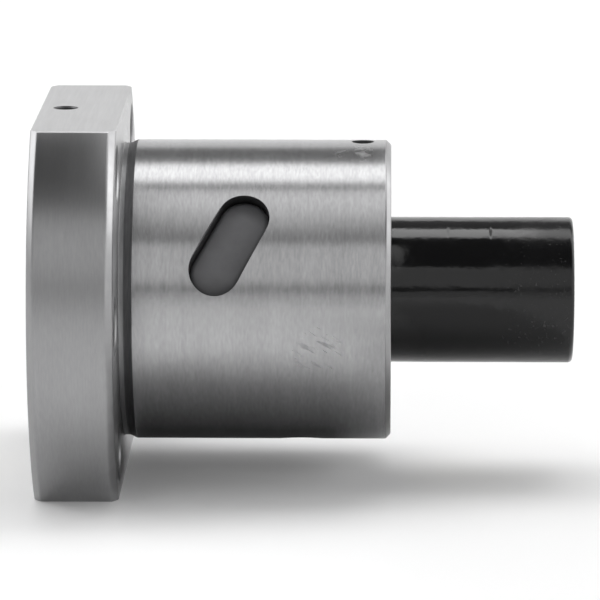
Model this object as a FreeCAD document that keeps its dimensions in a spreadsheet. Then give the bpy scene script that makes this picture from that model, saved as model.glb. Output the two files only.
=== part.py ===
# Flanged ball screw nut on its transport arbor, in millimetres.
# +X runs along the screw axis from the flange to the nose, and +Z is square to the flange's flats.
# The origin is on the screw axis, in the flange's seating face.
import FreeCAD, Part
import math
import os
import Sketcher

Vector = FreeCAD.Vector

doc = FreeCAD.newDocument("ball_screw_nut")

# Driving dimensions, in millimetres and degrees
SIZES = [
    # barrel and flange
    ("barrel_dia", 36.0),
    ("nut_length", 42.0),
    ("flange_dia", 58.0),
    ("flange_thickness", 10.0),
    ("flats_width", 44.0),
    ("rim_chamfer", 0.8),
    ("nose_chamfer", 0.6),
    # undercut where the barrel meets the seating face
    ("relief_floor", 0.75),
    ("relief_ramp", 0.8),
    ("relief_depth", 0.4),
    # flange bolts, in threes on each side of the flats
    ("bolt_circle", 47.0),
    ("bolt_hole_dia", 6.6),
    ("bolt_step", 45.0),
    # ball thread
    ("lead", 5.0),
    ("ball_dia", 3.175),
    ("ball_circle", 20.8),
    ("groove_play", 0.06),
    ("land_bore", 21.2),
    ("ball_spacing_play", 0.08),
    # return slots and their inserts
    ("circuit_count", 3),
    ("circuit_step", 120.0),
    ("circuit_lift", 28.0),
    ("circuit_place", 13.0),
    ("slot_width", 6.0),
    ("slot_length", 13.2),
    ("slot_tilt", 28.0),
    ("insert_recess", 2.0),
    ("insert_play", 0.05),
    ("crossover_span", 50.0),
    ("crossover_rise", 1.3),
    ("channel_run_out", 13.0),
    # wiper rings, their seats and lock screws
    ("seat_dia", 27.0),
    ("seat_mouth_chamfer", 0.4),
    ("wiper_width", 4.7),
    ("wiper_recess", 0.5),
    ("wiper_play", 0.1),
    ("wiper_lip_bore", 17.9),
    ("screw_crest_dia", 20.3),
    ("crest_width", 2.0),
    ("lock_hole_dia", 2.6),
    ("lock_mouth_chamfer", 0.3),
    ("flange_lock_place", 3.0),
    ("nose_lock_place", 3.4),
    ("lock_screw_play", 0.05),
    ("flange_lock_length", 5.0),
    ("nose_lock_length", 3.0),
    ("lock_socket_width", 1.3),
    ("lock_socket_depth", 1.2),
    ("lock_screw_chamfer", 0.25),
    # oil port in the lower flat
    ("oil_port_dia", 5.0),
    ("oil_port_depth", 6.0),
    ("oil_drill_dia", 2.0),
    ("oil_drill_margin", 0.1),
    # transport arbor
    ("sleeve_dia", 17.5),
    ("sleeve_bore", 13.5),
    ("sleeve_overhang", 21.8),
    ("sleeve_edge", 0.5),
]
sheet = doc.addObject("Spreadsheet::Sheet", "Sizes")
for row, (alias, amount) in enumerate(SIZES, start=1):
    sheet.set(f"A{row}", alias)
    sheet.set(f"B{row}", str(amount))
    sheet.setAlias(f"B{row}", alias)
doc.recompute()

# Expressions that several pieces share
FLANGE_FACE = "-Sizes.flange_thickness"
NOSE_FACE = "Sizes.nut_length - Sizes.flange_thickness"
SEAT_DEPTH = "(Sizes.wiper_width + Sizes.wiper_recess)"
FLANGE_SEAT = f"({FLANGE_FACE} + {SEAT_DEPTH})"
NOSE_SEAT = f"({NOSE_FACE} - {SEAT_DEPTH})"
GROOVE_RADIUS = "(Sizes.ball_dia / 2 + Sizes.groove_play)"
CIRCUIT_ANGLE = "(180 - Sizes.circuit_lift)"
CROSSING_AT_ZERO = f"(Sizes.circuit_place - Sizes.lead * (0.5 + {CIRCUIT_ANGLE} / 360))"
WIPER_RADIUS = "(Sizes.seat_dia / 2 - Sizes.wiper_play)"
LOCK_SCREW_RADIUS = "(Sizes.lock_hole_dia / 2 - Sizes.lock_screw_play)"


def amount_of(expression):
    """The number that an expression over the sheet gives now."""
    value = sheet.evalExpression(expression)
    return float(getattr(value, "Value", value))


def new_body(label):
    body = doc.addObject("PartDesign::Body", label)
    body.Label = label
    return body


def origin_plane(body, role):
    return [feature for feature in body.Origin.OriginFeatures if feature.Role == role][0]


def new_sketch(body, name, role, turn_about_x=None, rise=None):
    """A sketch on an origin plane, turned about the screw axis or lifted off the plane where asked."""
    sketch = body.newObject("Sketcher::SketchObject", name)
    sketch.AttachmentSupport = [(origin_plane(body, role), "")]
    sketch.MapMode = "FlatFace"
    if turn_about_x:
        turn = FreeCAD.Rotation(Vector(1, 0, 0), amount_of(turn_about_x))
        sketch.AttachmentOffset = FreeCAD.Placement(Vector(), turn)
        sketch.setExpression("AttachmentOffset.Rotation.Angle", turn_about_x)
    if rise:
        sketch.setExpression("AttachmentOffset.Base.z", rise)
    return sketch


def bind(sketch, kind, where, expression):
    """A dimension of a sketch that follows an expression."""
    index = sketch.addConstraint(Sketcher.Constraint(kind, *where, amount_of(expression)))
    sketch.setExpression(f"Constraints[{index}]", expression)


def pin_point(sketch, element, point, place):
    bind(sketch, "DistanceX", (-1, 1, element, point), place[0])
    bind(sketch, "DistanceY", (-1, 1, element, point), place[1])


def add_outline(sketch, corners):
    """A closed outline of straight edges whose corners are pairs of expressions."""
    points = [Vector(amount_of(x), amount_of(y), 0) for x, y in corners]
    edges = []
    for start, end in zip(points, points[1:] + points[:1]):
        edges.append(sketch.addGeometry(Part.LineSegment(start, end)))
    for edge, following in zip(edges, edges[1:] + edges[:1]):
        sketch.addConstraint(Sketcher.Constraint("Coincident", edge, 2, following, 1))
    for edge, corner in zip(edges, corners):
        pin_point(sketch, edge, 1, corner)


def add_circle(sketch, centre, radius):
    middle = Vector(amount_of(centre[0]), amount_of(centre[1]), 0)
    circle = sketch.addGeometry(Part.Circle(middle, Vector(0, 0, 1), amount_of(radius)))
    pin_point(sketch, circle, 3, centre)
    bind(sketch, "Radius", (circle,), radius)


def add_slot(sketch, centre_x, width, length, tilt):
    """A round-ended slot about (centre_x, 0) that leans by tilt from the sketch's y towards its x."""
    radius = amount_of(width) / 2
    half = f"(({length}) - ({width})) / 2"
    ends = [
        (f"{centre_x} + {half} * sin({tilt})", f"{half} * cos({tilt})"),
        (f"{centre_x} - {half} * sin({tilt})", f"-{half} * cos({tilt})"),
    ]
    lean = math.radians(amount_of(tilt))
    across = Vector(math.cos(lean), -math.sin(lean), 0) * radius
    along = Vector(math.sin(lean), math.cos(lean), 0) * radius
    top, bottom = [Vector(amount_of(x), amount_of(y), 0) for x, y in ends]
    upper = sketch.addGeometry(Part.Arc(top + across, top + along, top - across))
    lower = sketch.addGeometry(Part.Arc(bottom - across, bottom - along, bottom + across))
    left = sketch.addGeometry(Part.LineSegment(top - across, bottom - across))
    right = sketch.addGeometry(Part.LineSegment(bottom + across, top + across))
    for first, second in ((upper, left), (left, lower), (lower, right), (right, upper)):
        sketch.addConstraint(Sketcher.Constraint("Tangent", first, 2, second, 1))
    for arc, end in ((upper, ends[0]), (lower, ends[1])):
        pin_point(sketch, arc, 3, end)
    bind(sketch, "Radius", (upper,), f"({width}) / 2")


def revolve(body, sketch, kind="PartDesign::Revolution"):
    feature = body.newObject(kind, sketch.Name + "_turned")
    feature.Profile = sketch
    feature.ReferenceAxis = (sketch, ["H_Axis"])
    feature.Angle = 360
    return feature


def pocket(body, sketch, depth=None, towards_normal=False):
    feature = body.newObject("PartDesign::Pocket", sketch.Name + "_cut")
    feature.Profile = sketch
    feature.Reversed = towards_normal
    if depth:
        feature.Type = "Length"
        feature.setExpression("Length", depth)
    else:
        feature.Type = "ThroughAll"
    return feature


def helical_cut(body, sketch, height):
    """A right-handed cut of one lead a turn, from the sketch towards the nose."""
    feature = body.newObject("PartDesign::SubtractiveHelix", sketch.Name + "_cut")
    feature.Profile = sketch
    feature.ReferenceAxis = (sketch, ["H_Axis"])
    feature.Mode = "pitch-height-angle"
    feature.setExpression("Pitch", "Sizes.lead")
    feature.setExpression("Height", height)
    feature.LeftHanded = False
    return feature


def circuit_steps():
    """The circuits, counted from the middle one, each with its own number from the flange on."""
    count = round(amount_of("Sizes.circuit_count"))
    return [(number - 1 - count // 2, number) for number in range(1, count + 1)]


def circuit_turn(step):
    """The angle of a circuit's return slot, from +Y towards +Z."""
    return f"({CIRCUIT_ANGLE} + Sizes.circuit_step * {step})"


def circuit_x(step):
    """A circuit's place along the axis: it lies on the same thread as the others."""
    return f"(Sizes.circuit_place + Sizes.lead * (1 + Sizes.circuit_step / 360) * {step})"


def crossover_point(step, turn):
    """The ball path through a return insert, turn degrees from the insert's middle."""
    half_span = amount_of("Sizes.crossover_span") / 2
    lead = amount_of("Sizes.lead")
    share = max(-1.0, min(1.0, turn / half_span))
    blend = (share + 1) / 2
    shift = blend * blend * (3 - 2 * blend)
    along = amount_of(circuit_x(step)) + lead * (turn / 360 + 0.5 - shift)
    radius = amount_of("Sizes.ball_circle / 2") + amount_of("Sizes.crossover_rise") * (1 - share * share) ** 2
    angle = math.radians(amount_of(circuit_turn(step)) + turn)
    return Vector(along, radius * math.cos(angle), radius * math.sin(angle))


def helix_point(step, turn):
    """The ball path in the thread, turn degrees on from the insert's middle."""
    along = amount_of(circuit_x(step)) + amount_of("Sizes.lead") * (turn / 360 - 0.5)
    radius = amount_of("Sizes.ball_circle / 2")
    angle = math.radians(amount_of(circuit_turn(step)) + turn)
    return Vector(along, radius * math.cos(angle), radius * math.sin(angle))


# Nut body: flange and barrel turned from one bar, then milled, drilled and thread ground
def nut_profile():
    rim = "Sizes.flange_dia / 2"
    barrel = "Sizes.barrel_dia / 2"
    seat = "Sizes.seat_dia / 2"
    land = "Sizes.land_bore / 2"
    mouth = "Sizes.seat_mouth_chamfer"
    relief = f"{barrel} - Sizes.relief_depth"
    return [
        (FLANGE_FACE, f"{seat} + {mouth}"),
        (FLANGE_FACE, f"{rim} - Sizes.rim_chamfer"),
        (f"{FLANGE_FACE} + Sizes.rim_chamfer", rim),
        ("-Sizes.rim_chamfer", rim),
        ("0", f"{rim} - Sizes.rim_chamfer"),
        ("0", relief),
        ("Sizes.relief_floor", relief),
        ("Sizes.relief_floor + Sizes.relief_ramp", barrel),
        (f"{NOSE_FACE} - Sizes.nose_chamfer", barrel),
        (NOSE_FACE, f"{barrel} - Sizes.nose_chamfer"),
        (NOSE_FACE, f"{seat} + {mouth}"),
        (f"{NOSE_FACE} - {mouth}", seat),
        (NOSE_SEAT, seat),
        (NOSE_SEAT, land),
        (FLANGE_SEAT, land),
        (FLANGE_SEAT, seat),
        (f"{FLANGE_FACE} + {mouth}", seat),
    ]


def cut_ball_groove(body):
    """The round thread groove, started and ended in the wiper seats so that it runs out of both."""
    sketch = new_sketch(body, "ball_groove", "XY_Plane")
    turns_back = f"ceil(({CROSSING_AT_ZERO} - {FLANGE_SEAT} + {GROOVE_RADIUS}) / Sizes.lead)"
    start = f"{CROSSING_AT_ZERO} - Sizes.lead * {turns_back}"
    add_circle(sketch, (start, "Sizes.ball_circle / 2"), GROOVE_RADIUS)
    helical_cut(body, sketch, f"{NOSE_SEAT} + {GROOVE_RADIUS} - ({start})")


def cut_flats(body):
    sketch = new_sketch(body, "flats", "YZ_Plane")
    flat = "Sizes.flats_width / 2"
    beyond = "Sizes.flange_dia"
    for side in ("", "-"):
        add_outline(sketch, [
            (f"-{beyond}", f"{side}{flat}"),
            (beyond, f"{side}{flat}"),
            (beyond, f"{side}{beyond}"),
            (f"-{beyond}", f"{side}{beyond}"),
        ])
    pocket(body, sketch, "Sizes.flange_thickness")


def cut_bolt_holes(body):
    sketch = new_sketch(body, "bolt_holes", "YZ_Plane")
    ring = "Sizes.bolt_circle / 2"
    for side in ("", "-"):
        for step in (-1, 0, 1):
            angle = f"Sizes.bolt_step * {step}"
            add_circle(sketch, (f"{side}{ring} * cos({angle})", f"{ring} * sin({angle})"),
                       "Sizes.bolt_hole_dia / 2")
    pocket(body, sketch)


def cut_return_slots(body):
    for step, number in circuit_steps():
        sketch = new_sketch(body, f"return_slot_{number}", "XY_Plane", f"{circuit_turn(step)} - 90")
        add_slot(sketch, circuit_x(step), "Sizes.slot_width", "Sizes.slot_length", "Sizes.slot_tilt")
        pocket(body, sketch, towards_normal=True)


FLANGE_LOCK_X = f"({FLANGE_FACE} + Sizes.flange_lock_place)"
NOSE_LOCK_X = f"({NOSE_FACE} - Sizes.nose_lock_place)"


def cut_lock_holes(body):
    sketch = new_sketch(body, "lock_holes", "XY_Plane")
    for place in (FLANGE_LOCK_X, NOSE_LOCK_X):
        add_circle(sketch, (place, "0"), "Sizes.lock_hole_dia / 2")
    pocket(body, sketch, towards_normal=True)


def cut_lock_mouth(body):
    """The small countersink where the flange's lock hole opens in the flat."""
    mouth = body.newObject("PartDesign::SubtractiveCone", "lock_mouth")
    mouth.AttachmentSupport = [(origin_plane(body, "XY_Plane"), "")]
    mouth.MapMode = "FlatFace"
    mouth.setExpression("AttachmentOffset.Base.x", FLANGE_LOCK_X)
    mouth.setExpression("AttachmentOffset.Base.z", "Sizes.flats_width / 2 - Sizes.lock_mouth_chamfer")
    mouth.setExpression("Radius1", "Sizes.lock_hole_dia / 2")
    mouth.setExpression("Radius2", "Sizes.lock_hole_dia / 2 + Sizes.lock_mouth_chamfer")
    mouth.setExpression("Height", "Sizes.lock_mouth_chamfer")


def cut_oil_port(body):
    """The tapped port in the middle of the lower flat, and the drilling from its floor to the thread."""
    middle = "-Sizes.flange_thickness / 2"
    port = new_sketch(body, "oil_port", "XY_Plane", rise="-Sizes.flats_width / 2")
    add_circle(port, (middle, "0"), "Sizes.oil_port_dia / 2")
    pocket(body, port, "Sizes.oil_port_depth", towards_normal=True)
    drill = new_sketch(body, "oil_drill", "XY_Plane")
    reach = "(Sizes.oil_port_dia - Sizes.oil_drill_dia) / 2 - Sizes.oil_drill_margin"
    add_circle(drill, (f"{middle} + {reach}", "0"), "Sizes.oil_drill_dia / 2")
    pocket(body, drill)


def make_nut_body():
    body = new_body("nut_body")
    profile = new_sketch(body, "nut_profile", "XZ_Plane")
    add_outline(profile, nut_profile())
    revolve(body, profile)
    cut_flats(body)
    cut_bolt_holes(body)
    cut_lock_holes(body)
    cut_lock_mouth(body)
    cut_oil_port(body)
    cut_return_slots(body)
    cut_ball_groove(body)
    return body


# Return inserts: moulded caps, each with an S-shaped channel for the balls on its inner side
def make_channel(step, number):
    """The tunnel that the balls take through one insert, as a round sweep along their path."""
    half_span = amount_of("Sizes.crossover_span") / 2
    reach = half_span + amount_of("Sizes.channel_run_out")
    stations = 48
    points = [crossover_point(step, reach * (2 * station / stations - 1)) for station in range(stations + 1)]
    path = Part.BSplineCurve()
    path.interpolate(points)
    start = path.tangent(path.FirstParameter)[0]
    ring = Part.Circle(points[0], start, amount_of(GROOVE_RADIUS))
    channel = doc.addObject("Part::Feature", f"return_channel_{number}")
    spine = Part.Wire(path.toShape())
    channel.Shape = spine.makePipeShell([Part.Wire(ring.toShape())], True, False)
    return channel


def make_return_insert(step, number):
    label = f"return_insert_{number}"
    blank = new_body(label + "_blank")
    outline = new_sketch(blank, f"{label}_outline", "XY_Plane", f"{circuit_turn(step)} - 90")
    play = "2 * Sizes.insert_play"
    add_slot(outline, circuit_x(step), f"Sizes.slot_width - {play}", f"Sizes.slot_length - {play}",
             "Sizes.slot_tilt")
    pad = blank.newObject("PartDesign::Pad", f"{label}_pad")
    pad.Profile = outline
    pad.setExpression("Length", "Sizes.barrel_dia / 2")
    top = "Sizes.barrel_dia / 2 - Sizes.insert_recess"
    land = "Sizes.land_bore / 2"
    beyond = "Sizes.barrel_dia"
    for name, low, high in (("top", top, beyond), ("underside", "0", land)):
        ring = new_sketch(blank, f"{label}_{name}", "XZ_Plane")
        add_outline(ring, [
            (FLANGE_FACE, low),
            (NOSE_FACE, low),
            (NOSE_FACE, high),
            (FLANGE_FACE, high),
        ])
        revolve(blank, ring, "PartDesign::Groove")
    insert = doc.addObject("Part::Cut", label)
    insert.Label = label
    insert.Base = blank
    insert.Tool = make_channel(step, number)
    return insert


# Ball circuits: one closed row of balls to a circuit, one turn of thread and back through the insert
def circuit_path(step):
    half_span = amount_of("Sizes.crossover_span") / 2
    fineness = 4
    crossing = [crossover_point(step, half_span * (turn / 90.0)) for turn in range(-90, 90)]
    thread_turns = round((360 - 2 * half_span) * fineness)
    thread = [helix_point(step, half_span + turn / fineness) for turn in range(thread_turns + 1)]
    return crossing + thread


def make_ball_circuit(step, number):
    points = circuit_path(step)
    runs = [start.distanceToPoint(end) for start, end in zip(points, points[1:] + points[:1])]
    ball = amount_of("Sizes.ball_dia")
    count = math.floor(sum(runs) / (ball + amount_of("Sizes.ball_spacing_play")))
    spacing = sum(runs) / count
    centres = []
    travelled = 0.0
    for point, run in zip(points, runs):
        if len(centres) < count and travelled >= len(centres) * spacing:
            centres.append(point)
        travelled += run
    label = f"ball_circuit_{number}"
    circuit = doc.addObject("Part::Feature", label)
    circuit.Label = label
    circuit.Shape = Part.makeCompound([Part.makeSphere(ball / 2, centre) for centre in centres])
    return circuit


# Wiper rings: plastic, with an inner thread that fills the screw's grooves
def make_wiper(label, inner_face, outer_face):
    body = new_body(label)
    ring = new_sketch(body, f"{label}_ring", "XZ_Plane")
    lip = "Sizes.wiper_lip_bore / 2"
    add_outline(ring, [
        (inner_face, lip),
        (outer_face, lip),
        (outer_face, WIPER_RADIUS),
        (inner_face, WIPER_RADIUS),
    ])
    revolve(body, ring)
    doc.recompute()
    crest = new_sketch(body, f"{label}_crest", "XY_Plane")
    half = "Sizes.crest_width / 2"
    low = min((inner_face, outer_face), key=amount_of)
    turns_back = f"ceil(({CROSSING_AT_ZERO} + Sizes.lead / 2 - ({low}) + {half}) / Sizes.lead)"
    start = f"{CROSSING_AT_ZERO} + Sizes.lead * (0.5 - {turns_back})"
    below_lip = "Sizes.wiper_lip_bore / 2 - Sizes.crest_width / 2"
    add_outline(crest, [
        (f"{start} - {half}", below_lip),
        (f"{start} + {half}", below_lip),
        (f"{start} + {half}", "Sizes.screw_crest_dia / 2"),
        (f"{start} - {half}", "Sizes.screw_crest_dia / 2"),
    ])
    helical_cut(body, crest, "2 * Sizes.lead + Sizes.wiper_width")
    return body


# Lock screws: short socket set screws that bear on the wipers
def make_lock_screw(label, place, length):
    body = new_body(label)
    tip = f"({WIPER_RADIUS} + Sizes.wiper_play)"
    chamfer = "Sizes.lock_screw_chamfer"
    profile = new_sketch(body, f"{label}_profile", "XZ_Plane")
    end = f"{tip} + {length}"
    add_outline(profile, [
        (place, tip),
        (f"{place} + {LOCK_SCREW_RADIUS} - {chamfer}", tip),
        (f"{place} + {LOCK_SCREW_RADIUS}", f"{tip} + {chamfer}"),
        (f"{place} + {LOCK_SCREW_RADIUS}", f"{end} - {chamfer}"),
        (f"{place} + {LOCK_SCREW_RADIUS} - {chamfer}", end),
        (place, end),
    ])
    shank = body.newObject("PartDesign::Revolution", f"{label}_shank")
    shank.Profile = profile
    shank.ReferenceAxis = (profile, ["Edge6"])
    shank.Angle = 360
    doc.recompute()
    socket = new_sketch(body, f"{label}_socket", "XY_Plane", rise=end)
    corner = "Sizes.lock_socket_width / 2 / cos(30)"
    add_outline(socket, [
        (f"{place} + {corner} * cos({60 * side})", f"{corner} * sin({60 * side})") for side in range(6)
    ])
    pocket(body, socket, "Sizes.lock_socket_depth")
    return body


# Transport arbor: a plain moulded tube, flush with the flange and long at the nose
def make_arbor_sleeve():
    body = new_body("arbor_sleeve")
    wall = new_sketch(body, "sleeve_wall", "XZ_Plane")
    far_end = f"{NOSE_FACE} + Sizes.sleeve_overhang"
    add_outline(wall, [
        (FLANGE_FACE, "Sizes.sleeve_bore / 2"),
        (far_end, "Sizes.sleeve_bore / 2"),
        (far_end, "Sizes.sleeve_dia / 2"),
        (FLANGE_FACE, "Sizes.sleeve_dia / 2"),
    ])
    tube = revolve(body, wall)
    doc.recompute()
    outside = amount_of("Sizes.sleeve_dia / 2")
    rounds = []
    for number, edge in enumerate(tube.Shape.Edges, start=1):
        if edge.Curve.TypeId == "Part::GeomCircle" and abs(edge.Curve.Radius - outside) < 1e-6:
            rounds.append(f"Edge{number}")
    fillet = body.newObject("PartDesign::Fillet", "sleeve_round_ends")
    fillet.Base = (tube, rounds)
    fillet.setExpression("Radius", "Sizes.sleeve_edge")
    return body


pieces = [make_nut_body()]
for step, number in circuit_steps():
    pieces.append(make_return_insert(step, number))
    pieces.append(make_ball_circuit(step, number))
pieces.append(make_wiper("wiper_flange_end", FLANGE_SEAT, f"({FLANGE_FACE} + Sizes.wiper_recess)"))
pieces.append(make_wiper("wiper_nose_end", NOSE_SEAT, f"({NOSE_FACE} - Sizes.wiper_recess)"))
pieces.append(make_lock_screw("wiper_screw_flange", FLANGE_LOCK_X, "Sizes.flange_lock_length"))
pieces.append(make_lock_screw("wiper_screw_nose", NOSE_LOCK_X, "Sizes.nose_lock_length"))
pieces.append(make_arbor_sleeve())
doc.recompute()

for item in doc.Objects:
    if "Invalid" in item.State or "Error" in item.State:
        raise RuntimeError(f"{item.Label} failed: {item.State}")
for piece in pieces:
    if piece.Shape.isNull() or not piece.Shape.isValid():
        raise RuntimeError(f"{piece.Label} has no valid shape")

os.makedirs("parts", exist_ok=True)
for piece in pieces:
    piece.Shape.exportStep(f"parts/{piece.Label}.step")
    print(piece.Label, len(piece.Shape.Solids), "solids", round(piece.Shape.Volume, 2), "mm3")
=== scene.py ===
import math

import bmesh
import bpy
from mathutils import Matrix, Vector


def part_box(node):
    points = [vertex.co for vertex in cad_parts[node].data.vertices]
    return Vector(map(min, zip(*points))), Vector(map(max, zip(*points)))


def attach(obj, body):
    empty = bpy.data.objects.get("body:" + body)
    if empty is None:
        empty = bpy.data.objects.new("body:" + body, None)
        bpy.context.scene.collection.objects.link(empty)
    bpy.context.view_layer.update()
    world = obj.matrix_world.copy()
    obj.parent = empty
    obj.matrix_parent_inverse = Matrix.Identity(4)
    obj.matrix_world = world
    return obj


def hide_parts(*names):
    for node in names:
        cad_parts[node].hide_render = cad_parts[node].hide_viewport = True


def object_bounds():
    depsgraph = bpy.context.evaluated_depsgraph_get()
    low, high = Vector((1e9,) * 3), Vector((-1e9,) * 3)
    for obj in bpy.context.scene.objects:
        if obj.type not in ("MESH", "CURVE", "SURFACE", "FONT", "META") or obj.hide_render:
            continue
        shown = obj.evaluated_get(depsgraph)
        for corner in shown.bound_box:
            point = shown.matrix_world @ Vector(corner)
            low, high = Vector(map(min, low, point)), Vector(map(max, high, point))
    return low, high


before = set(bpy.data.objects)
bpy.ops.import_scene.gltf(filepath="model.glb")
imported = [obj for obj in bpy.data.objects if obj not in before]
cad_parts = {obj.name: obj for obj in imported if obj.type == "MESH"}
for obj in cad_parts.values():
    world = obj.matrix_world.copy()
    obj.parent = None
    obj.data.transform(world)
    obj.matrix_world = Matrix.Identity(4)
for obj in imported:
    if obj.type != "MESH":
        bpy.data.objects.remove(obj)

cad_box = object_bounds()

# Nut body: flange and barrel turned from one bar of bearing steel, then hardened.
# The flats are milled, the holes and return slots are cut through, and the barrel is ground to size last.
# The ball thread is ground inside the bore, where the balls run.
MM = 0.001
lathe_steps, hole_steps, slot_steps, groove_steps = 360, 64, 96, 32
nut_low, nut_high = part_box("nut_body")
flange_x, nose_x = nut_low.x, nut_high.x
flange_radius = nut_high.y
flat_height = nut_high.z
barrel_radius = 18.0 * MM
rim_chamfer = 0.8 * MM
nose_chamfer = 0.6 * MM
relief_floor, relief_ramp, relief_depth = 0.75 * MM, 0.8 * MM, 0.4 * MM
seat_radius, seat_depth, seat_mouth = 13.5 * MM, 5.2 * MM, 0.4 * MM
land_radius = 10.6 * MM
break_width, square_lean, rim_lean = 0.15 * MM, 0.5, 0.74
rim_ease, lathe_ease, sharp, ease_steps = 0.2 * MM, 0.15 * MM, 0.0, 4
# a cutting tool goes this far past the surface, and ends this far from the axis inside the bore
beyond, inside_bore = 1.0 * MM, 0.7 * land_radius
# how near counts as meeting: for welding, for picking the flange's faces, and for telling the finishes apart
weld_gap, hair, slack = 0.0001 * MM, 0.001 * MM, 0.01 * MM
# each corner of the outline: along the axis, away from it, and how far the corner is eased
nut_outline = [
    (flange_x + seat_mouth, seat_radius, lathe_ease),
    (flange_x, seat_radius + seat_mouth, lathe_ease),
    (flange_x, flange_radius - rim_chamfer, rim_ease),
    (flange_x + rim_chamfer, flange_radius, rim_ease),
    (-rim_chamfer, flange_radius, rim_ease),
    (0.0, flange_radius - rim_chamfer, rim_ease),
    (0.0, barrel_radius - relief_depth, lathe_ease),
    (relief_floor, barrel_radius - relief_depth, lathe_ease),
    (relief_floor + relief_ramp, barrel_radius, lathe_ease),
    (nose_x - nose_chamfer, barrel_radius, lathe_ease),
    (nose_x, barrel_radius - nose_chamfer, lathe_ease),
    (nose_x, seat_radius + seat_mouth, lathe_ease),
    (nose_x - seat_mouth, seat_radius, lathe_ease),
    (nose_x - seat_depth, seat_radius, sharp),
    (nose_x - seat_depth, land_radius, sharp),
    (flange_x + seat_depth, land_radius, sharp),
    (flange_x + seat_depth, seat_radius, sharp),
]


def turned(outline):
    """A closed outline of (x, radius, ease) corners, eased where wanted and spun about the screw axis."""
    solid = bmesh.new()
    corners = [solid.verts.new((x, 0.0, radius)) for x, radius, ease in outline]
    for ends in zip(corners, corners[1:] + corners[:1]):
        solid.edges.new(ends)
    eases = [ease for x, radius, ease in outline]
    for offset in sorted(set(eases) - {sharp}):
        eased = [corner for corner, ease in zip(corners, eases) if ease == offset]
        bmesh.ops.bevel(solid, geom=eased, offset=offset, offset_type="OFFSET", segments=ease_steps,
                        profile=0.5, affect="VERTICES", material=-1)
    bmesh.ops.spin(solid, geom=solid.verts[:] + solid.edges[:], cent=(0, 0, 0), axis=(1, 0, 0),
                   angle=math.tau, steps=lathe_steps, use_merge=True)
    bmesh.ops.remove_doubles(solid, verts=solid.verts, dist=weld_gap)
    bmesh.ops.recalc_face_normals(solid, faces=solid.faces)
    return solid


def face_off(solid, point, outwards):
    """Mills the flange back to a plane and closes it there."""
    faces = [face for face in solid.faces if max(vert.co.x for vert in face.verts) < hair]
    edges = dict.fromkeys(edge for face in faces for edge in face.edges)
    verts = dict.fromkeys(vert for face in faces for vert in face.verts)
    cut = bmesh.ops.bisect_plane(solid, geom=[*verts, *edges, *faces], plane_co=point, plane_no=outwards,
                                 clear_outer=True)
    rim = [item for item in cut["geom_cut"] if isinstance(item, bmesh.types.BMEdge)]
    bmesh.ops.holes_fill(solid, edges=rim)


nut = turned(nut_outline)
flat_half = math.sqrt(flange_radius ** 2 - flat_height ** 2)
for up in (1, -1):
    flat_normal = Vector((0, 0, up))
    face_off(nut, flat_normal * flat_height, flat_normal)
    # the flat's four edges: a point on each, the way its other face looks, and how far the break leans to it
    flat_edges = []
    for end_x, way in ((flange_x, -1), (0.0, 1)):
        flat_edges.append((Vector((end_x, 0, up * flat_height)), Vector((way, 0, 0)), square_lean))
    for side in (1, -1):
        rim_point = Vector((flange_x / 2, side * flat_half, up * flat_height))
        rim_normal = Vector((0, side * flat_half, up * flat_height)).normalized()
        flat_edges.append((rim_point, rim_normal, rim_lean))
    for corner, neighbour, lean in flat_edges:
        outwards = flat_normal.slerp(neighbour, lean)
        spans = [1 / math.tan(outwards.angle(normal)) for normal in (flat_normal, neighbour)]
        face_off(nut, corner - outwards * break_width / sum(spans), outwards)
bmesh.ops.recalc_face_normals(nut, faces=nut.faces)


def as_object(solid, name):
    """Puts a finished mesh into the scene as an object."""
    mesh = bpy.data.meshes.new(name)
    solid.to_mesh(mesh)
    solid.free()
    made = bpy.data.objects.new(name, mesh)
    bpy.context.scene.collection.objects.link(made)
    return made


def cut_away(piece, tool):
    """Takes the tool's shape out of the piece and throws the tool away."""
    cut = piece.modifiers.new("cut", "BOOLEAN")
    cut.object = tool
    cut.operation = "DIFFERENCE"
    cut.solver = "MANIFOLD"
    piece.data = bpy.data.meshes.new_from_object(
        piece.evaluated_get(bpy.context.evaluated_depsgraph_get()))
    piece.modifiers.clear()
    bpy.data.objects.remove(tool)


def edges_of(ring):
    """The edges that a new ring of points has, each once and in a steady order."""
    return list(dict.fromkeys(edge for vert in ring for edge in vert.link_edges))


def skin(solid, rings):
    """Joins a stack of edge rings and closes both ends."""
    for lower, upper in zip(rings, rings[1:]):
        bmesh.ops.bridge_loops(solid, edges=lower + upper)
    for end in (rings[0], rings[-1]):
        bmesh.ops.edgeloop_fill(solid, edges=end)
    bmesh.ops.recalc_face_normals(solid, faces=solid.faces)


def drill(solid, levels, place):
    """A round tool about its own Z, through (height, radius) levels, moved to its place."""
    rings = []
    for height, radius in levels:
        ring = bmesh.ops.create_circle(solid, radius=radius, segments=hole_steps,
                                       matrix=place @ Matrix.Translation((0, 0, height)))["verts"]
        rings.append(edges_of(ring))
    skin(solid, rings)


holes = bmesh.new()
bolt_circle_radius, bolt_radius, bolt_break = 23.5 * MM, 3.3 * MM, 0.2 * MM
for side in (0, 180):
    for bolt_turn in (-45, 0, 45):
        bolt_place = (Matrix.Rotation(math.radians(side + bolt_turn), 4, "X")
                      @ Matrix.Translation((0, bolt_circle_radius, 0))
                      @ Matrix.Rotation(math.radians(90), 4, "Y"))
        drill(holes, [
            (flange_x - beyond, bolt_radius + bolt_break + beyond),
            (flange_x + bolt_break, bolt_radius),
            (-bolt_break, bolt_radius),
            (beyond, bolt_radius + bolt_break + beyond),
        ], bolt_place)
lock_radius, lock_mouth = 1.3 * MM, 0.2 * MM
flange_lock_x = flange_x + 3.0 * MM
drill(holes, [
    (seat_radius - beyond, lock_radius),
    (flat_height - lock_mouth, lock_radius),
    (flat_height + beyond, lock_radius + lock_mouth + beyond),
], Matrix.Translation((flange_lock_x, 0, 0)))
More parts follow.
